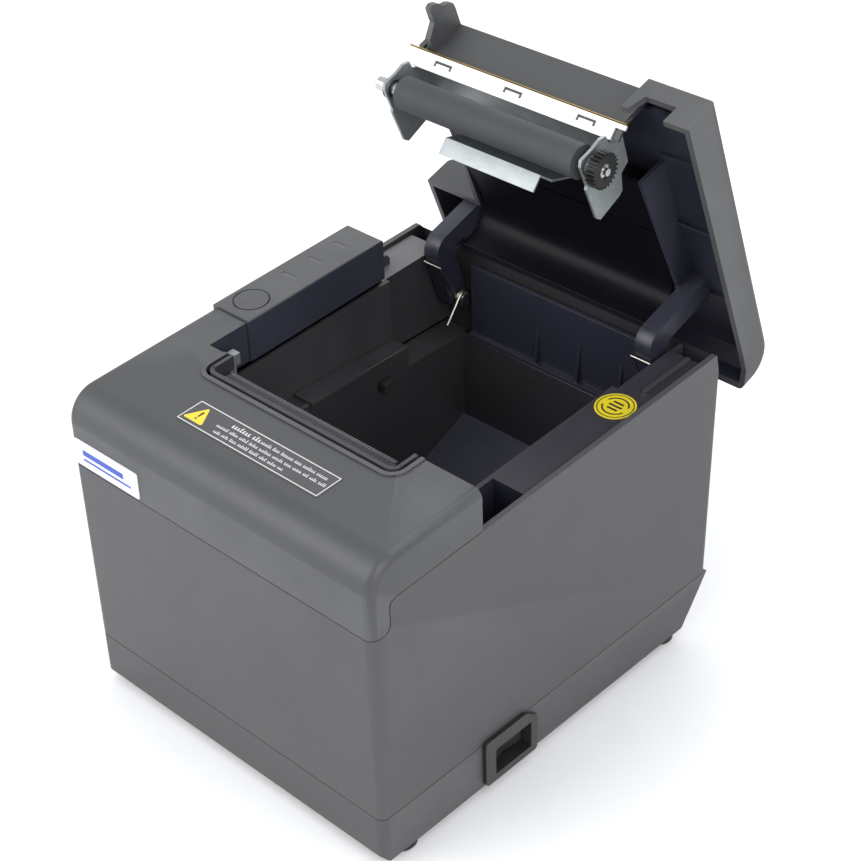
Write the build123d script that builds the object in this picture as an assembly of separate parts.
from build123d import *
from math import atan2, cos, pi, radians, sin
import os

# Receipt printer with its paper cover open. X runs to the right, Y to the rear, Z up from the desk.
# Everything is drawn about the middle of the case, with the cover shut. The cover is then turned
# open about its hinge, and the whole part is moved so that its box is centred on the origin.

# ---- driving dimensions, millimetres ----
half_width = 72.5
front_y = -88.0
rear_y = 88.3
wall = 2.2
foot_height = 3.0
base_seam_z = 22.4          # base case meets main case
front_seam_z = 99.5         # front cover meets main case
seam_gap = 0.35
corner_radius = 3.5
rim_front_z = 111.6         # side wall's top edge at rim_front_y
rim_front_y = -79.5
rim_slope = 0.049
top_ref_z = 130.0           # roof height at the cover's front edge
top_ref_y = -37.0
top_slope = 0.045
front_round = 12.0          # big round along the front cover's nose
cover_front_y = -36.6
cover_rear_y = 89.4
cover_left_x = -47.6        # the narrow part's left edge, beside the control panel
panel_right_x = -54.0
panel_front_y = -19.8
panel_rear_y = 48.0
hinge_y = 81.0
hinge_z = 98.0
open_angle = 72.3
pin_radius = 2.0
fit_gap = 0.05              # radial clearance of a shaft in its bore
arm_inner_x = 47.3
arm_outer_x = 54.3
exit_left_x = -45.5         # paper exit cut into the front cover
exit_right_x = 46.5
exit_front_y = -50.0
exit_round = 5.0
hollow_half_upper = 53.6    # paper compartment above its ledges
hollow_half_rear = 55.8     # widened at the rear for the hinge arms
hollow_half = 45.0
hollow_front_y = -20.0
hollow_rear_y = 80.0
hollow_floor_z = 26.0
ledge_z = 91.0
slope_top_z = 44.4          # where the trough's sloping floor meets its rear wall
deck_drop = 1.8             # decks beside the compartment lie this far under the rim
platen_y = -26.0
platen_z = 96.5
platen_radius = 6.0
platen_half = 41.0
shaft_radius = 2.5
gear_module = 0.5
platen_teeth = 24
idler_teeth = 36
pinion_teeth = 12
comb_pitch = 1.1
bead_lift = 0.6             # beads round the paper exit stand proud of the roof
panel_lift = 0.8
button_x = -63.5
button_y = -9.5
button_radius = 6.3
lens_x = -64.2
lens_first_y = 9.8
lens_pitch = 13.0
lens_length = 7.0
lens_width = 1.7
foot_x = 65.8
foot_front_y = -74.0
foot_rear_y = 65.7
foot_radius = 6.0
rocker_y = -25.4
rocker_z = 12.5
socket_left_x = -50.0
socket_right_x = 34.0
socket_low_z = 24.0
socket_high_z = 38.6
socket_plate_y = 79.0
rocker_pin_x = half_width - 5.4
mech_x = 45.8               # the mechanism's side plates
gear_x = 47.4
head_pivot_y = -40.5
head_pivot_z = 84.0
idler_y = -35.6
idler_z = 82.4
mesh_angle = 90.0           # direction from the idler's centre to the pinion's, about +X
gear_backlash = 0.25
motor_y = idler_y - (gear_module * (idler_teeth + pinion_teeth) / 2 + gear_backlash) * cos(radians(mesh_angle))
motor_z = idler_z - (gear_module * (idler_teeth + pinion_teeth) / 2 + gear_backlash) * sin(radians(mesh_angle))
knife_z = 113.2
crank_x = 20.0
crank_y = -62.0
deck_front_y = -13.5
deck_rear_y = 79.0
exit_x0 = -42.2             # the cover's exit lip runs from here to exit_x1
exit_x1 = 45.0
arm_half = 4.4
bushing_radius = 4.0
frame_shift_y = -13.6       # puts the open part's box on the origin


def rim_z(y):
    return rim_front_z + rim_slope * (y - rim_front_y)


def top_z(y):
    return top_ref_z + top_slope * (y - top_ref_y)


# ---- helpers ----
def block(x0, x1, y0, y1, z0, z1):
    return Pos((x0 + x1) / 2, (y0 + y1) / 2, (z0 + z1) / 2) * Box(x1 - x0, y1 - y0, z1 - z0)


def side_solid(points, x0, x1):
    """A solid whose outline is drawn as (y, z) points and runs from x0 to x1."""
    plane = Plane(origin=(x0, 0, 0), x_dir=(0, 1, 0), z_dir=(1, 0, 0))
    return extrude(plane * make_face(Polyline(*points, close=True)), amount=x1 - x0)


def plan_solid(points, z0, z1):
    return extrude(Pos(0, 0, z0) * make_face(Polyline(*points, close=True)), amount=z1 - z0)


def x_rod(y, z, radius, x0, x1):
    return Pos((x0 + x1) / 2, y, z) * Rot(0, 90, 0) * Cylinder(radius, x1 - x0)


def y_rod(x, z, radius, y0, y1):
    return Pos(x, (y0 + y1) / 2, z) * Rot(90, 0, 0) * Cylinder(radius, y1 - y0)


def z_rod(x, y, radius, z0, z1):
    return Pos(x, y, (z0 + z1) / 2) * Cylinder(radius, z1 - z0)


def roof_plane(x, y, lift=0.0):
    """A plane lying on the sloping roof, its own Y running up the slope."""
    tilt = atan2(top_slope, 1)
    return Plane(origin=(x, y, top_z(y) + lift), x_dir=(1, 0, 0), z_dir=(0, -sin(tilt), cos(tilt)))


def upright_edges(shape, x, y, reach=6.0):
    """The vertical edges near one corner of a plan."""
    found = []
    for edge in shape.edges():
        centre = edge.center()
        near = abs(centre.X - x) < reach and abs(centre.Y - y) < reach
        if near and edge.length > 2 and abs((edge % 0.5).Z) > 0.9:
            found.append(edge)
    return found


def outline_edges(shape, end_y):
    """Edges of both flanks along the roof, round the end and down the upright corner at end_y."""
    found = []
    for edge in shape.edges():
        centre = edge.center()
        on_flank = abs(abs(centre.X) - half_width) < 0.1
        upright = abs((edge % 0.5).Z) > 0.9
        at_end = abs(centre.Y - end_y) < 0.4
        on_roof = centre.Z > top_z(centre.Y) - 9 and not upright
        if on_flank and edge.length > 1.5 and (at_end and upright or on_roof):
            found.append(edge)
    return found


def spur_gear(teeth, width, bore, module=gear_module):
    """A spur gear about +X, from x = 0 to x = width, with straight-flanked teeth."""
    pitch = module * teeth / 2
    root = pitch - 1.2 * module
    tip = pitch + 0.85 * module
    points = []
    for number in range(teeth):
        middle = 2 * pi * number / teeth
        for offset, radius in ((-0.29, root), (-0.13, tip), (0.13, tip), (0.29, root)):
            angle = middle + offset * 2 * pi / teeth
            points.append((radius * cos(angle), radius * sin(angle)))
    return side_solid(points, 0, width) - x_rod(0, 0, bore, -1, width + 1)


def slotted_screw(radius, head_height, shank_radius, shank_length):
    """A cross-head screw pointing down, its head's underside at z = 0."""
    screw = Pos(0, 0, head_height / 2) * Cylinder(radius, head_height)
    screw += Pos(0, 0, -shank_length / 2) * Cylinder(shank_radius, shank_length)
    for turn in (0, 90):
        screw -= Pos(0, 0, head_height) * Rot(0, 0, turn) * Box(radius * 1.3, radius * 0.25, head_height)
    return screw


nodes = {}


def keep(name, shape, opens=False):
    """Stores one node; a cover node is turned from its shut place to its open one."""
    if opens:
        shape = Pos(0, hinge_y, hinge_z) * Rot(-open_angle, 0, 0) * Pos(0, -hinge_y, -hinge_z) * shape
    nodes[name] = Pos(0, frame_shift_y, 0) * shape



# ---- case ----
def switch_window(x0, x1, grow=0.0):
    return block(x0, x1, -36.6 - grow, -14.4 + grow, 5.0 - grow, 20.0 + grow)


def base_case():
    floor = foot_height + wall
    outline = [(front_y + 2.5, foot_height), (front_y, foot_height + 2.5), (front_y, base_seam_z),
               (rear_y - 2.1, base_seam_z), (rear_y - 6, 17), (rear_y - 11, 10), (rear_y - 16.3, foot_height)]
    body = side_solid(outline, -half_width, half_width)
    for x in (-half_width, half_width):
        body = fillet(upright_edges(body, x, front_y), corner_radius)
    inside = [(front_y + wall, floor + 1), (front_y + wall, 30), (rear_y - 4.3, 30),
              (rear_y - 4.3, base_seam_z), (rear_y - 8.2, 18), (rear_y - 13, 11.2), (rear_y - 18.2, floor),
              (front_y + wall + 1, floor)]
    body -= side_solid(inside, -half_width + wall, half_width - wall)
    for x in (-58, 58):
        for y in (-70, 56):
            body += z_rod(x, y, 4.5, floor - 0.5, base_seam_z - 3)
            body -= z_rod(x, y, 3.4, 0, floor + 2)
            body -= z_rod(x, y, 1.7, 0, 30)
    for x in (-40, 40):
        for y in (-30, 30):
            body += z_rod(x, y, 3.0, floor - 0.5, 9.9)
    for x in (-foot_x, foot_x):
        for y in (foot_front_y, foot_rear_y):
            body -= z_rod(x, y, foot_radius - 1.2, 0, foot_height + 1.0)
    return body - switch_window(half_width - 6, half_width + 1)


def main_case():
    rear_low = rear_y - 2.1
    outline = [(front_y, base_seam_z + seam_gap), (rear_low, base_seam_z + seam_gap), (rear_y, 112.0),
               (rear_y - 0.9, 116.4), (rear_y - 4.0, rim_z(rear_y - 4)), (-76.6, rim_z(-76.6)),
               (-78.7, rim_z(-79) - 0.7), (rim_front_y, rim_z(-79.5) - 2.6), (rim_front_y, front_seam_z + 2.6),
               (-80.4, front_seam_z + 0.8), (-82.6, front_seam_z), (front_y, front_seam_z)]
    body = side_solid(outline, -half_width, half_width)
    for x in (-half_width, half_width):
        for y in (front_y, rear_y):
            body = fillet(upright_edges(body, x, y), corner_radius)
    inside = [(front_y + wall, 0), (rear_low - wall, 0), (rear_low - wall, 30), (rear_y - wall, 112),
              (rear_y - wall, 140), (front_y + wall, 140)]
    body -= side_solid(inside, -half_width + wall, half_width - wall)
    body -= block(socket_left_x, socket_right_x, rear_low - wall - 2, rear_y + 2, socket_low_z, socket_high_z)
    for side in (-1, 1):
        for y in (-70, 56):
            boss = z_rod(side * 58, y, 4.5, base_seam_z - 3 + seam_gap, 40)
            web = Pos(side * 66, y, 32) * Box(10, 2, 16)
            body += boss + web
            body -= z_rod(side * 58, y, 1.2, 0, 38)
    return body - switch_window(half_width - 6, half_width + 1)


def front_cover():
    under = rim_z(cover_front_y) + seam_gap
    low = front_seam_z + seam_gap
    back = cover_front_y - 0.7
    outline = [(front_y, low), (-82.4, low), (-80.6, low + 1.0), (-79.9, low + 2.8),
               (-79.9, rim_z(-79.9) - 1.8), (-78.9, rim_z(-78.9) - 0.2), (-76.8, rim_z(-76.8) + seam_gap),
               (back, under), (back, top_z(back)), (front_y, top_z(front_y))]
    body = side_solid(outline, -half_width, half_width)
    left = [(back - 1, rim_z(back) + seam_gap), (panel_front_y - 0.4, rim_z(panel_front_y) + seam_gap),
            (panel_front_y - 0.4, top_z(panel_front_y)), (back - 1, top_z(back - 1))]
    body += side_solid(left, -half_width, panel_right_x - 0.8)
    nose = [e for e in body.edges().filter_by(Axis.X) if e.center().Y < front_y + 0.1 and e.center().Z > 120]
    body = fillet(nose, front_round)
    body = fillet(outline_edges(body, front_y), corner_radius)
    hollow = [(front_y + wall, low - 1), (back - wall, low - 1), (back - wall, top_z(back) - wall),
              (front_y + front_round + 2, top_z(front_y + front_round + 2) - wall),
              (front_y + wall + 3, top_z(front_y) - 7), (front_y + wall, top_z(front_y) - 13)]
    body -= side_solid(hollow, -half_width + wall, half_width - wall)
    body -= block(-half_width + wall, panel_right_x - 0.8 - wall, back - 4, panel_front_y - 0.4 - wall,
                  90, top_z(back) - wall - 0.4)
    body -= exit_cut(0.0, 90, 140)
    ring = exit_cut(1.7, top_z(exit_front_y) - 3, 140) - exit_cut(0.0, 90, 150)
    band = side_solid([(exit_front_y - 3, top_z(exit_front_y - 3) - 1.2), (back, top_z(back) - 1.2),
                       (back, top_z(back) + bead_lift), (exit_front_y - 3, top_z(exit_front_y - 3) + bead_lift)],
                      -60, 60)
    return body + (ring & band)


def exit_cut(grow, z0, z1):
    """The paper exit's plan, open to the rear, its two front corners round."""
    cut = block(exit_left_x - grow, exit_right_x + grow, exit_front_y - grow, cover_front_y + 3, z0, z1)
    front = [e for e in cut.edges().filter_by(Axis.Z) if e.center().Y < exit_front_y - grow + 0.1]
    return fillet(front, exit_round + grow)


def exit_frame():
    """The inner bead of the paper exit, with a groove between it and the front cover."""
    back = cover_front_y - 0.7
    outer = exit_cut(-1.3, 90, 140)
    inner = exit_cut(-2.9, 80, 150)
    band = side_solid([(exit_front_y - 3, top_z(exit_front_y) - 5), (back, top_z(back) - 5),
                       (back, top_z(back) + bead_lift), (exit_front_y, top_z(exit_front_y) + bead_lift)], -60, 60)
    return (outer - inner) & band


def paper_comb():
    """The dark toothed guide inside the exit; fine teeth run along its rear edge."""
    x0 = exit_left_x + 8.0
    x1 = exit_right_x - 5.1
    front = exit_front_y + 2.9
    rear = front + 5.2
    high = top_z(front) - 0.5
    low = high - 1.3
    body = side_solid([(front, high - 6), (front, high), (rear - 1.8, low + 0.6), (rear - 1.8, low - 3.4)], x0, x1)
    count = round((x1 - x0) / comb_pitch) - 1
    tooth = side_solid([(rear - 1.9, low - 2.8), (rear - 1.9, low + 0.4), (rear, low - 0.4), (rear, low - 2.8)],
                       0, comb_pitch / 2)
    return body + [Pos(x0 + comb_pitch * (number + 0.25), 0, 0) * tooth for number in range(count)]


def caution_label():
    plane = roof_plane(1.2, -66.6, 0.02)
    return extrude(plane * RectangleRounded(67.5, 12.4, 0.6), amount=0.12)


def name_badge():
    plane = Plane(origin=(-53, front_y - 0.02, 106.2), x_dir=(1, 0, 0), z_dir=(0, -1, 0))
    return extrude(plane * RectangleRounded(33, 10.5, 0.8), amount=0.4)


def control_panel():
    outline = [(panel_front_y, rim_z(panel_front_y) + seam_gap), (panel_rear_y, rim_z(panel_rear_y) + seam_gap),
               (panel_rear_y, top_z(panel_rear_y) + panel_lift), (panel_front_y, top_z(panel_front_y) + panel_lift)]
    body = side_solid(outline, -half_width, panel_right_x)
    top = [e for e in body.edges() if e.center().Z > 129 and (e.center().X < -half_width + 1
           or abs(e.center().X - panel_right_x) < 0.1 or e.center().Y > panel_rear_y - 1)]
    body = fillet(top, 0.8)
    inside = [(panel_front_y + wall, 80), (panel_rear_y - wall, 80),
              (panel_rear_y - wall, top_z(panel_rear_y) + panel_lift - wall),
              (panel_front_y + wall, top_z(panel_front_y) + panel_lift - wall)]
    body -= side_solid(inside, -half_width + wall, panel_right_x - wall)
    ring = roof_plane(button_x, button_y, panel_lift)
    body -= extrude(ring * (Circle(button_radius + 0.6) - Circle(button_radius + 0.25)), amount=-0.5)
    body -= extrude(ring * Circle(button_radius + 0.25), amount=-8)
    for number in range(3):
        window = roof_plane(lens_x, lens_first_y + number * lens_pitch, panel_lift)
        body -= extrude(window * RectangleRounded(lens_length + 0.1, lens_width + 0.1, 0.7), amount=-8)
    return body


def feed_button():
    plane = roof_plane(button_x, button_y, panel_lift)
    cap = extrude(plane * Circle(button_radius), amount=-3.0)
    stem = extrude(Plane(plane.origin - plane.z_dir * 2.9, x_dir=plane.x_dir, z_dir=plane.z_dir) * Circle(2.0),
                   amount=-3.2)
    return cap + stem


def status_lenses():
    group = Part()
    for number in range(3):
        plane = roof_plane(lens_x, lens_first_y + number * lens_pitch, panel_lift - 0.15)
        lens = extrude(plane * RectangleRounded(lens_length, lens_width, 0.6), amount=-4.0)
        group += lens
    return group


def panel_board():
    y0 = panel_front_y + wall + 1
    y1 = panel_rear_y - wall - 1
    plane_drop = 9.4
    lift = panel_lift - plane_drop
    board = side_solid([(y0, top_z(y0) + lift), (y1, top_z(y1) + lift), (y1, top_z(y1) + lift + 1.2),
                        (y0, top_z(y0) + lift + 1.2)], -69.6, -56.9)
    plane = roof_plane(button_x, button_y, lift + 1.2)
    switch = extrude(plane * Rectangle(6, 6), amount=0.6)
    for number in range(3):
        spot = roof_plane(lens_x, lens_first_y + number * lens_pitch, lift + 1.2)
        board += extrude(spot * Rectangle(3.0, 1.5), amount=0.8)
    return board + switch


def power_bezel():
    """Frame round the power switch; its top and front walls stand out to guard the rocker."""
    body = block(half_width - 9, half_width, -36.5, -14.5, 5.3, 19.9)
    guard = block(half_width, half_width + 1.8, -39.6, -13.0, 3.8, 23.8)
    guard = fillet(guard.edges().filter_by(Axis.X), 1.6)
    body += guard
    body -= block(half_width - 10, half_width + 5, -34.6, -16.2, 6.8, 18.2)
    cut = side_solid([(-20, 24.5), (-12, 24.5), (-12, 19.0)], half_width - 1, half_width + 5)
    return body - cut - z_rod(rocker_pin_x, rocker_y, 1.02, 5, 20)


def power_rocker():
    back = half_width - 7.5
    points = [(half_width - 1.2, rocker_y - 8.7), (half_width - 3.4, rocker_y), (half_width - 2.4, rocker_y + 8.7),
              (back, rocker_y + 6.0), (back, rocker_y - 6.0)]
    return plan_solid(points, rocker_z - 5.2, rocker_z + 5.2) - z_rod(rocker_pin_x, rocker_y, 1.05, 0, 40)


def rocker_pin():
    return z_rod(rocker_pin_x, rocker_y, 1.0, 5.2, 19.8)


def rubber_feet():
    group = Part()
    for x in (-foot_x, foot_x):
        for y in (foot_front_y, foot_rear_y):
            group += z_rod(x, y, foot_radius, 0, foot_height) + z_rod(x, y, foot_radius - 1.3, 0, foot_height + 0.9)
    return group


def case_screws():
    group = Part()
    for x in (-58, 58):
        for y in (-70, 56):
            screw = Pos(x, y, foot_height + wall + 2.0) * Rot(180, 0, 0) * slotted_screw(2.9, 1.8, 1.15, 28)
            group += screw
    return group


# ---- inside the case ----
def main_board():
    board = block(-52, 50, -60, 60, 10.0, 11.6)
    for x in (-40, 40):
        for y in (-30, 30):
            board -= z_rod(x, y, 1.6, 9, 13)
    chips = ((-10, -20, 14, 14, 1.6), (20, -30, 10, 16, 1.4), (-40, 5, 12, 12, 2.0), (18, 22, 18, 8, 1.5),
             (-41, -45, 20, 8, 6.0), (36, -52, 16, 6, 6.0))
    for x, y, wide, deep, high in chips:
        board += block(x - wide / 2, x + wide / 2, y - deep / 2, y + deep / 2, 11.6, 11.6 + high)
    for x in (-30, -18, 10):
        board += z_rod(x, 46, 4.0, 11.6, 22.0)
    return board


def board_screws():
    group = Part()
    for x in (-40, 40):
        for y in (-30, 30):
            group += Pos(x, y, 11.6) * slotted_screw(2.8, 1.6, 1.4, 1.5)
    return group


def socket_plate():
    plate = block(socket_left_x - 4, socket_right_x + 4, socket_plate_y, socket_plate_y + 1.6,
                  socket_low_z - 2.2, socket_high_z + 2.2)
    frame_low = socket_plate_y + 1.6
    ring = block(socket_left_x - 1.5, socket_right_x + 1.5, frame_low, rear_y - 4.5,
                 socket_low_z - 1.5, socket_high_z + 1.5)
    plate += ring - block(socket_left_x, socket_right_x, frame_low - 1, rear_y, socket_low_z, socket_high_z)
    for name, x, wide, high in sockets:
        plate -= block(x - wide / 2 - 0.2, x + wide / 2 + 0.2, 70, 90, socket_z - high / 2 - 0.2,
                       socket_z + high / 2 + 0.2)
    return plate


sockets = (("power_socket", -39.0, 12.0, 12.0), ("drawer_socket", -19.0, 13.0, 12.0),
           ("usb_socket", -1.0, 12.0, 11.0), ("network_socket", 19.0, 16.0, 13.5))
socket_z = 31.2
socket_depth = 11.2


def socket_shell(x, wide, high):
    """A rear socket: a shell with a deep mouth and a contact tongue."""
    mouth = socket_plate_y + 3.4
    body = block(x - wide / 2, x + wide / 2, mouth - socket_depth, mouth, socket_z - high / 2, socket_z + high / 2)
    body -= block(x - wide / 2 + 1.4, x + wide / 2 - 1.4, mouth - socket_depth + 1.6, mouth + 1,
                  socket_z - high / 2 + 1.4, socket_z + high / 2 - 1.4)
    return body


def power_socket():
    name, x, wide, high = sockets[0]
    mouth = socket_plate_y + 3.4
    body = block(x - wide / 2, x + wide / 2, mouth - socket_depth, mouth, socket_z - high / 2, socket_z + high / 2)
    body -= y_rod(x, socket_z, 4.7, mouth - socket_depth + 1.6, mouth + 1)
    for spot in (-1, 0, 1):
        body += y_rod(x + spot * 2.4, socket_z - (spot == 0) * 2.2 + 0.8, 0.5, mouth - socket_depth + 1.5, mouth - 4)
    return body


def drawer_socket():
    name, x, wide, high = sockets[1]
    body = socket_shell(x, wide, high)
    mouth = socket_plate_y + 3.4
    return body - block(x - 2.2, x + 2.2, mouth - socket_depth + 1.6, mouth + 1, socket_z - high / 2 + 0.5, socket_z)


def usb_socket():
    name, x, wide, high = sockets[2]
    body = socket_shell(x, wide, high)
    mouth = socket_plate_y + 3.4
    return body + block(x - 2.8, x + 2.8, mouth - socket_depth + 1.5, mouth - 2.5, socket_z - 1.6, socket_z + 1.6)


def network_socket():
    name, x, wide, high = sockets[3]
    body = socket_shell(x, wide, high)
    mouth = socket_plate_y + 3.4
    return body - block(x - 3.2, x + 3.2, mouth - socket_depth + 1.6, mouth + 1, socket_z - high / 2 + 0.5, socket_z)


def deck_z(y):
    return rim_z(y) - deck_drop


def deck(side):
    """The shelf beside the compartment, with the compartment's upper side wall under it."""
    front, rear, wide = (deck_front_y, deck_rear_y, half_width - wall - 0.2)
    start = front if side > 0 else panel_rear_y + 0.4
    plate = side_solid([(start, deck_z(start) - 2), (rear, deck_z(rear) - 2), (rear, deck_z(rear)),
                        (start, deck_z(start))], hollow_half_upper, wide)
    plate -= block(0, hollow_half_rear, 50, 95, 80, 140)
    front_top = deck_z(-36) - 0.3 if side < 0 else 100
    upper = side_solid([(-36, ledge_z), (50.2, ledge_z), (50.2, deck_z(50.2)), (-20, deck_z(-20)), (-36, front_top)],
                       hollow_half_upper, hollow_half_upper + 1.8)
    rear_wall_low = 84.0
    back = side_solid([(48.4, rear_wall_low), (84.9, rear_wall_low), (84.9, deck_z(79)), (48.4, deck_z(48.4))],
                      hollow_half_rear, hollow_half_rear + 1.8)
    body = plate + upper + back
    body -= x_rod(hinge_y, hinge_z, pin_radius + 0.02, 50, 62)
    if side > 0:
        body += side_solid([(start, 82), (start + 1.8, 82), (start + 1.8, deck_z(start)), (start, deck_z(start))],
                           hollow_half_upper + 1.8, wide)
        rib = side_solid([(53, deck_z(53) - 1), (78, deck_z(78) - 1), (78, deck_z(78) + 1.4), (53, deck_z(53) + 1.4)],
                         64.2, 66.0)
        return body + rib
    lug = side_solid([(53.2, deck_z(53.2) - 0.5), (59.0, deck_z(59) - 0.5), (59.0, deck_z(59) + 2.6),
                      (57.4, deck_z(57) + 4.6), (53.2, deck_z(53.2) + 4.8)], 62.0, half_width - wall - 0.4)
    return mirror(body + lug, Plane.YZ)


def paper_bucket():
    """The lower half of the compartment: a deep trough whose floor slopes up to the rear wall."""
    skin = 1.8
    floor = hollow_floor_z
    front, rear = hollow_front_y, hollow_rear_y
    inner = side_solid([(front, ledge_z + 1), (front, 52), (-6, floor + 4), (4, floor), (39, floor),
                        (rear, slope_top_z), (rear, ledge_z + 1)], -hollow_half, hollow_half)
    outer = side_solid([(front - skin, ledge_z), (front - skin, 51.2), (-7, floor + 2.6), (3.4, floor - skin),
                        (39.4, floor - skin), (rear + skin, slope_top_z - skin + 0.6), (rear + skin, ledge_z)],
                       -hollow_half - skin, hollow_half + skin)
    body = outer - inner
    body -= block(-60, 60, 50, 120, 82, 200)
    for side in (-1, 1):
        a, b = sorted((side * (hollow_half + skin), side * (hollow_half_upper + 1.6)))
        body += block(a, b, hollow_front_y, 50, ledge_z - 2.4, ledge_z - 0.4)
        a, b = sorted((side * (hollow_half + skin), side * (hollow_half_rear + 1.6)))
        body += block(a, b, 48, 84, 80, 82)
    body += block(-hollow_half_upper + 0.3, -hollow_half + 1.4, -2, 28, ledge_z - 0.4, ledge_z + 1.0)
    body -= block(-hollow_half - 3, -hollow_half + 1, 32.9, 39.1, 78.4, 83.0)
    return body


def rear_wall():
    """Upper rear wall of the compartment, with its shelf and three gusset ribs."""
    body = block(-42, 42, 82.2, 83.8, 83, 113)
    body += block(-42, 42, 80.0, 83.8, 82.1, 83.7)
    for x in (-8, 12, 32):
        body += side_solid([(80.4, 83.7), (83, 83.7), (83, 108)], x - 0.8, x + 0.8)
    return body


def near_end_sensor():
    body = block(-hollow_half - 8, -hollow_half - 2.0, 30, 42, 76, 86)
    return body - block(-hollow_half - 7.2, -hollow_half, 33.0, 39.0, 78.5, 82.9)


def sensor_lever():
    return side_solid([(33.5, 79), (38.5, 79), (38.5, 82.4), (33.5, 82.4)], -hollow_half - 4.2, -hollow_half + 3.2)


# ---- hinge ----
def hinge_pins():
    group = Part()
    for side in (-1, 1):
        a, b = sorted((side * 43.4, side * 58.6))
        group += x_rod(hinge_y, hinge_z, pin_radius, a, b)
        a, b = sorted((side * 42.6, side * 43.6))
        group += x_rod(hinge_y, hinge_z, 3.4, a, b)
    return group


def spring_coils():
    """Each coil sits on its pin; its lower leg bears on the trough."""
    group = Part()
    for side in (-1, 1):
        a, b = sorted((side * 44.0, side * 46.6))
        coil = x_rod(hinge_y, hinge_z, 3.6, a, b) - x_rod(hinge_y, hinge_z, pin_radius + 0.25, a - 1, b + 1)
        for turn in range(2):
            place = side * (44.85 + 0.9 * turn)
            groove = x_rod(hinge_y, hinge_z, 3.8, place - 0.06, place + 0.06)
            coil -= groove - x_rod(hinge_y, hinge_z, 3.3, place - 0.06, place + 0.06)
        leg = Plane(origin=(side * 44.5, hinge_y - 2.6, hinge_z - 1.6), x_dir=(1, 0, 0), z_dir=(0, -0.6, -0.8))
        coil += extrude(leg * Circle(0.45), amount=12.0)
        group += coil
    return group


def spring_hooks():
    """Each spring's upper leg, which swings with the cover and hooks over its arm."""
    group = Part()
    for side in (-1, 1):
        x = side * 46.2
        start = Vector(x, hinge_y - 3.6, hinge_z + 2.9)
        knee = Vector(x, 70.0, 115.5)
        out = (knee - start).normalized()
        leg = Plane(origin=start, x_dir=(1, 0, 0), z_dir=out)
        wire = extrude(leg * Circle(0.45), amount=(knee - start).length)
        a, b = sorted((x - side * 0.3, side * (arm_outer_x + 0.2)))
        wire += x_rod(knee.Y, knee.Z, 0.45, a, b)
        wire += Pos(knee) * Sphere(0.45)
        group += wire
    return group


# ---- print mechanism in the case ----
def mech_sides():
    group = Part()
    for x in (-mech_x, mech_x):
        plate = side_solid([(-72, 40), (-22.3, 40), (-22.3, 91.5), (-15, 91.5), (-15, 96), (-19, 103), (-72, 103)],
                           x - 0.6, x + 0.6)
        slot = x_rod(platen_y, platen_z, 4.5, x - 1, x + 1)
        slot += block(x - 1, x + 1, platen_y - 4.5, platen_y + 4.5, platen_z, 110)
        slot += x_rod(motor_y, motor_z, 1.4, x - 1, x + 1)
        group += plate - slot - x_rod(head_pivot_y, head_pivot_z, 1.52, x - 1, x + 1)
    return group


def mech_bridge():
    body = block(-mech_x + 0.6, mech_x - 0.6, -72, -22, 40, 42)
    body += block(-mech_x + 0.6, mech_x - 0.6, -72, -70.5, 42, 100)
    return body


def print_head():
    """Heat sink that carries the thermal bar; it rocks on a pin and is sprung against the platen."""
    sink = block(-42, 42, -38.4, -33.2, 82, 101)
    for x in range(-36, 37, 12):
        sink += block(x - 1, x + 1, -41.0, -38.4, 86, 99)
    sink += block(-42, 42, head_pivot_y - 2.6, -33.2, head_pivot_z - 2.6, head_pivot_z + 2.6)
    return sink - x_rod(head_pivot_y, head_pivot_z, 1.55, -50, 50)


def thermal_bar():
    return block(-41, 41, -33.2, -32.4, 88, 101) + block(-41, 41, -32.4, -32.25, 95.8, 97.2)


def head_pin():
    return x_rod(head_pivot_y, head_pivot_z, 1.5, -46.9, 46.9)


def head_springs():
    group = Part()
    for x in (-24, 0, 24):
        for turn in range(6):
            group += y_rod(x, 92, 2.6, -42.8 - turn * 2.0, -41.9 - turn * 2.0)
        group += y_rod(x, 92, 1.2, -53.6, -41.9)
    return group


def spring_seat():
    return block(-40, 40, -55.4, -53.8, 42, 97)


def cutter_blade():
    """Moving knife under the comb; it slides to the rear to meet the fixed knife."""
    knife = plan_solid([(-41.5, -58), (41.5, -58), (41.5, -43.0), (0, -41.8), (-41.5, -43.0)],
                       knife_z, knife_z + 0.8)
    return knife - block(-3.5, 3.5, -56.5, -55.0, knife_z - 1, knife_z + 2)


def cutter_base():
    """Bed the knife slides on, with side guides."""
    body = block(-44.0, 44.0, -68, -44.2, knife_z - 2.2, knife_z - 0.2)
    for side in (-1, 1):
        a, b = sorted((side * 41.8, side * 44.0))
        body += block(a, b, -66, -46, knife_z - 0.4, knife_z + 1.2)
    return body


def cutter_motor():
    return z_rod(crank_x, crank_y, 6.0, knife_z - 26, knife_z - 2.4)


def feed_motor():
    body = x_rod(motor_y, motor_z, 11.0, 20.0, mech_x - 0.8)
    body += x_rod(motor_y, motor_z, 1.2, mech_x - 0.8, gear_x - 0.3)
    return body


def drive_pinion():
    gear = Pos(gear_x, motor_y, motor_z) * Rot(180 / pinion_teeth + mesh_angle, 0, 0) * spur_gear(pinion_teeth, 4.0, 1.25)
    return gear


def idler_gear():
    return Pos(gear_x, idler_y, idler_z) * Rot(mesh_angle, 0, 0) * spur_gear(idler_teeth, 4.0, 1.55)


def idler_stud():
    return x_rod(idler_y, idler_z, 1.5, mech_x + 0.6, gear_x + 5.0) + x_rod(idler_y, idler_z, 2.6, gear_x + 4.2, gear_x + 5.0)


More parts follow.
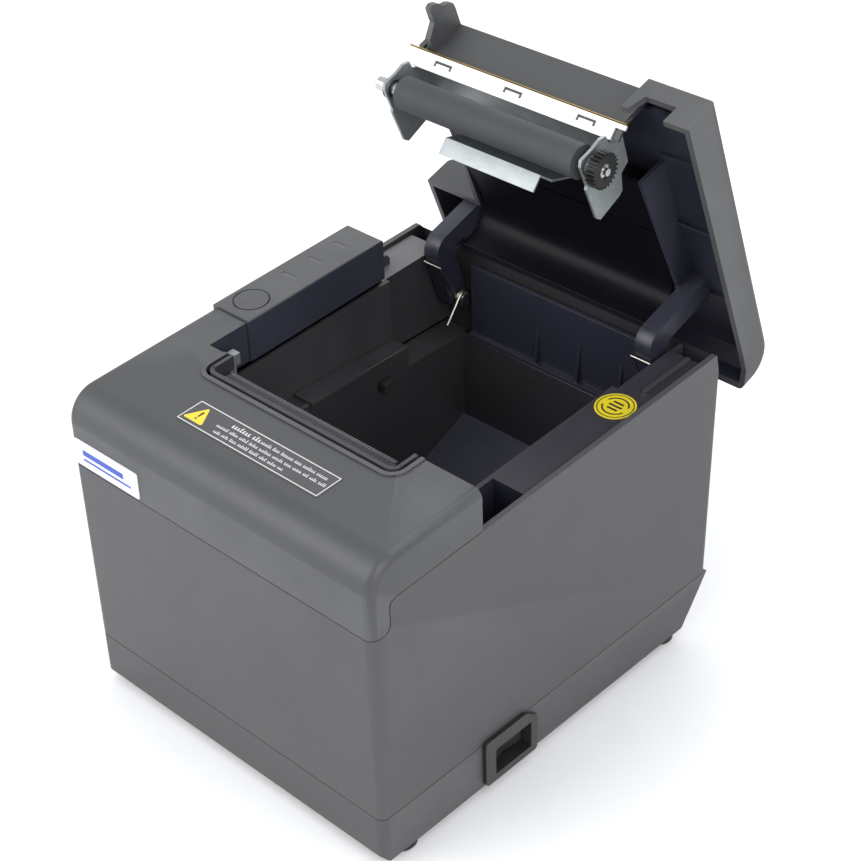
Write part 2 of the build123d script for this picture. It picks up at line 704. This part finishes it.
def latch_plate():
    """Pale bracket that shows in the gap beside the exit, bent over into a small bridge."""
    body = block(-51.8, -50.8, -36.6, -29.6, 104, 114.6)
    body += block(-51.8, -50.8, -32.6, -29.6, 114.6, 126)
    body += block(-51.8, -48.2, -32.6, -29.6, 125.1, 126)
    return body + block(-49.1, -48.2, -32.6, -29.6, 121.4, 126)


# ---- cover ----
def skirt_z(y):
    return rim_z(y) + 1.5


def cover_shell():
    back_low = 117.4
    outline = [(cover_front_y, skirt_z(cover_front_y)), (74, skirt_z(74)), (82, skirt_z(76)),
               (cover_rear_y, back_low), (cover_rear_y, top_z(70)), (cover_front_y, top_z(cover_front_y))]
    body = side_solid(outline, -half_width, half_width)
    body -= block(-half_width - 1, cover_left_x, cover_front_y - 1, panel_rear_y + 0.6, 90, 150)
    rear = [e for e in body.edges().filter_by(Axis.X) if e.center().Y > cover_rear_y - 1 and e.center().Z > 130]
    body = fillet(rear, 11.0)
    body = fillet(outline_edges(body, cover_rear_y), 2.5)
    inside = [(cover_front_y + wall, 90), (cover_rear_y - wall, 90), (cover_rear_y - wall, top_z(70) - 11),
              (cover_rear_y - 6, top_z(70) - wall - 3.0), (cover_rear_y - 13, top_z(70) - wall),
              (cover_front_y + wall, top_z(cover_front_y) - wall)]
    hollow = side_solid(inside, -half_width + wall, half_width - wall)
    hollow -= block(-half_width, cover_left_x + wall, cover_front_y - 1, panel_rear_y + 0.6 + wall, 80, 150)
    body -= hollow
    exit_notch = side_solid([(cover_front_y - 1, 100), (-29.5, 100), (-29.5, 114.6), (-30.8, 135),
                             (cover_front_y - 1, 135)], exit_x0 - 8, exit_x1)
    body -= exit_notch
    lip = side_solid([(-29.5, 114.6), (-30.8, top_z(-30.8) - 0.6), (-28.4, top_z(-28.4) - 1.0), (-27.6, 114.6)],
                     exit_x0, exit_x1)
    gusset = [(exit_x1 + 1.2, 110), (exit_x1 + 4.6, 122.4), (62, 122.4), (62, 110)]
    cut_plane = Plane(origin=(0, cover_front_y - 1, 0), x_dir=(1, 0, 0), z_dir=(0, -1, 0))
    body -= extrude(cut_plane * make_face(Polyline(*gusset, close=True)), amount=-wall - 1.4)
    return body + lip + exit_tab()


def exit_tab():
    """Upright tab that fills the paper exit's left end when the cover is shut."""
    outline = [(-27.6, 114.6), (-35.1, 114.8), (-39.4, 118.8), (-45.4, 118.6), (-46.2, 120.2), (-45.4, 122.4),
               (-42.6, 124.9), (-42.0, 127.1), (-40.6, 129.2), (-38.6, top_z(-38.6) - 0.2),
               (-27.6, top_z(-27.6) - 0.2)]
    return side_solid(outline, exit_x0, exit_x0 + 2.4)


def cover_liner():
    """Ribbed inner plate of the cover, with its two side walls and goose-neck hinge arms."""
    drop = 4.6
    rear = 76.0
    body = side_solid([(-27, top_z(-27) - drop), (rear, top_z(rear) - drop), (rear, top_z(rear) - drop + 1.8),
                       (-27, top_z(-27) - drop + 1.8)], -45.2, half_width - wall - 0.3)
    body += side_solid([(52, top_z(52) - drop), (rear, top_z(rear) - drop), (rear, top_z(rear) - drop + 1.8),
                        (52, top_z(52) - drop + 1.8)], -half_width + wall + 0.3, -45.0)
    for side in (-1, 1):
        a, b = sorted((side * 45.6, side * 47.4))
        low_front = (-4, 114.3) if side > 0 else (51.0, 121.2)
        side_wall = [(46, 120.6), (60, 122.4), (60, top_z(60) - drop + 0.2), (-4, top_z(-4) - drop + 0.2)]
        if side < 0:
            side_wall = [(60, 122.4), (60, top_z(60) - drop + 0.2), (51.0, top_z(51) - drop + 0.2)]
        body += side_solid([low_front, *side_wall], a, b)
        body += hinge_arm(side)
    for y in (-8, 25, 58):
        body += block(47.4, half_width - wall - 0.4, y - 0.6, y + 0.6, top_z(y) - drop - 1.2, top_z(y) - drop + 0.5)
    return body


def hinge_arm(side):
    """Goose neck: a round lug on the pin, a leg forward and a riser up to the plate."""
    a, b = sorted((side * arm_inner_x, side * arm_outer_x))
    low, high = (hinge_z - arm_half, hinge_z + arm_half)
    leg = [(hinge_y, low), (51.5, low), (51.2, 131.2), (59.4, 131.2), (59.6, high), (hinge_y, high)]
    arm = side_solid(leg, a, b)
    for y, z, radius in ((51.5, low, 7.5), (59.6, high, 4.0)):
        corner = [e for e in arm.edges().filter_by(Axis.X) if abs(e.center().Y - y) + abs(e.center().Z - z) < 0.2]
        arm = fillet(corner, radius)
    arm += x_rod(hinge_y, hinge_z, arm_half, a, b)
    return arm - x_rod(hinge_y, hinge_z, pin_radius + fit_gap, a - 1, b + 1)


def paper_deflector():
    """Concave guide across the cover that turns the paper round the roll."""
    skin = 1.6
    outer = [(22.8, 117.6), (42, 120.2), (50, 119.6), (55.2, 115.6), (57.6, 110.0), (57.8, 104.8)]
    inner = [(59.4, 104.8), (59.3, 110.4), (56.7, 116.6), (50.8, 121.3), (42, 121.9), (22.8, 119.2)]
    body = side_solid(outer + inner, -45.2, 45.2)
    for x in (-30, 0, 30):
        body += block(x - 1, x + 1, 30, 34, 119.5, top_z(30) - 5.2)
    return body


def front_guide():
    """Flat guide between the platen bracket and the deflector."""
    body = side_solid([(-4, 113.8), (21.6, 117.2), (21.6, 119.0), (-4, 115.6)], -45.2, 45.2)
    for x in (-36, 36):
        body += block(x - 1, x + 1, 4, 8, 116.0, top_z(4) - 5.2)
    return body


def platen_bracket():
    """Sheet channel: a back plate with a pointed ear at each end that holds a bushing."""
    body = block(-44.6, 44.6, -29.5, -14.0, 112.4, 113.4)
    for x in (-44.0, 44.0):
        ear = side_solid([(-30.6, 93.2), (-30.8, 99.0), (-31.6, 103.2), (-30.8, 106.2), (-27.6, 106.6),
                          (-26.2, 108.5), (-28.6, 112.4), (-29.4, 113.4), (-14, 113.4), (-12, 109.2),
                          (-5.3, 107.9), (-4.4, 106.2), (-2.7, 95.4), (-4.5, 93.7), (-18.4, 92.4),
                          (-19.6, 93.0), (-28.4, 92.2)], x - 0.6, x + 0.6)
        body += ear - x_rod(platen_y, platen_z, bushing_radius - 0.9, x - 1, x + 1)
    return body


def platen_bushings():
    group = Part()
    for side in (-1, 1):
        a, b = sorted((side * 44.7, 47.0 if side > 0 else -45.5))
        sleeve = x_rod(platen_y, platen_z, bushing_radius, a, b)
        a, b = sorted((side * 43.0, side * 44.9))
        sleeve += x_rod(platen_y, platen_z, bushing_radius - 0.95, a, b)
        group += sleeve - x_rod(platen_y, platen_z, shaft_radius + fit_gap, -50, 50)
    return group


def platen_shaft():
    return x_rod(platen_y, platen_z, shaft_radius, -50.5, 50.5) + x_rod(platen_y, platen_z, 1.3, 50.4, 52.0)


def platen_rubber():
    return x_rod(platen_y, platen_z, platen_radius, platen_half - 79.5, platen_half) - x_rod(
        platen_y, platen_z, shaft_radius, -45, 45)


def platen_gear():
    return Pos(47.4, platen_y, platen_z) * spur_gear(platen_teeth, 3.6, shaft_radius)


def blade_plane():
    """The knife's front face, its own Y running down towards the platen."""
    return Plane(origin=(1.0, -31.0, 112.8), x_dir=(1, 0, 0), z_dir=(0, 0.852, 0.525))


def fixed_blade():
    """Fixed knife: a slim strip with three bracket-shaped slots."""
    plane = blade_plane()
    strip = extrude(plane * (Pos(-1.8, 3.1) * Rectangle(91, 6.0) + Pos(-1.4, 0.9) * Rectangle(98, 1.6)), amount=-0.8)
    for x in (-32, 0, 32):
        slot = Pos(x, 2.3) * Rectangle(8.0, 0.9) + Pos(x - 3.5, 3.1) * Rectangle(1.0, 1.6)
        slot += Pos(x + 3.5, 3.1) * Rectangle(1.0, 1.6)
        strip -= extrude(plane * slot, amount=-1.0)
    return strip


def blade_backing():
    plane = blade_plane()
    return extrude(plane * (Pos(0, 2.8) * Rectangle(93, 5.4)), amount=1.0)


def sensor_plate():
    """Bent sheet under the guide: a sloping flat and a bright turned-up lip."""
    lip = side_solid([(-5.0, 101.3), (-1.5, 96.0), (-0.9, 96.4), (-4.1, 101.1)], -30, 14)
    return lip + side_solid([(-5.0, 101.3), (-4.1, 101.1), (4.2, 114.2), (3.5, 114.7)], -30, 19)


def round_sticker():
    tilt = atan2(rim_slope, 1)
    plane = Plane(origin=(62.0, 41.5, deck_z(41.5) + 0.02), x_dir=(1, 0, 0), z_dir=(0, -sin(tilt), cos(tilt)))
    return extrude(plane * Circle(7.3), amount=0.15)


fixed_nodes = (base_case, main_case, control_panel, status_lenses, panel_board, power_bezel, rocker_pin,
               rubber_feet, case_screws, main_board, board_screws, socket_plate, power_socket, drawer_socket,
               usb_socket, network_socket, paper_bucket, rear_wall, near_end_sensor,
               hinge_pins, spring_coils, mech_sides, mech_bridge, head_pin, head_springs, spring_seat,
               cutter_base, cutter_motor, feed_motor, idler_stud, latch_plate, exit_frame, paper_comb,
               front_cover, caution_label, name_badge, feed_button, power_rocker, sensor_lever, print_head,
               thermal_bar, cutter_blade, drive_pinion, idler_gear, round_sticker)
cover_nodes = (cover_shell, cover_liner, paper_deflector, front_guide, platen_bracket, platen_bushings,
               platen_shaft, platen_rubber, platen_gear, fixed_blade, blade_backing, sensor_plate)

for make in fixed_nodes:
    keep(make.__name__, make())
for make in cover_nodes:
    keep(make.__name__, make(), opens=True)
keep("right_deck", deck(1))
keep("left_deck", deck(-1))
keep("spring_hooks", spring_hooks())

os.makedirs("parts", exist_ok=True)
for name, shape in nodes.items():
    export_step(shape, f"parts/{name}.step")
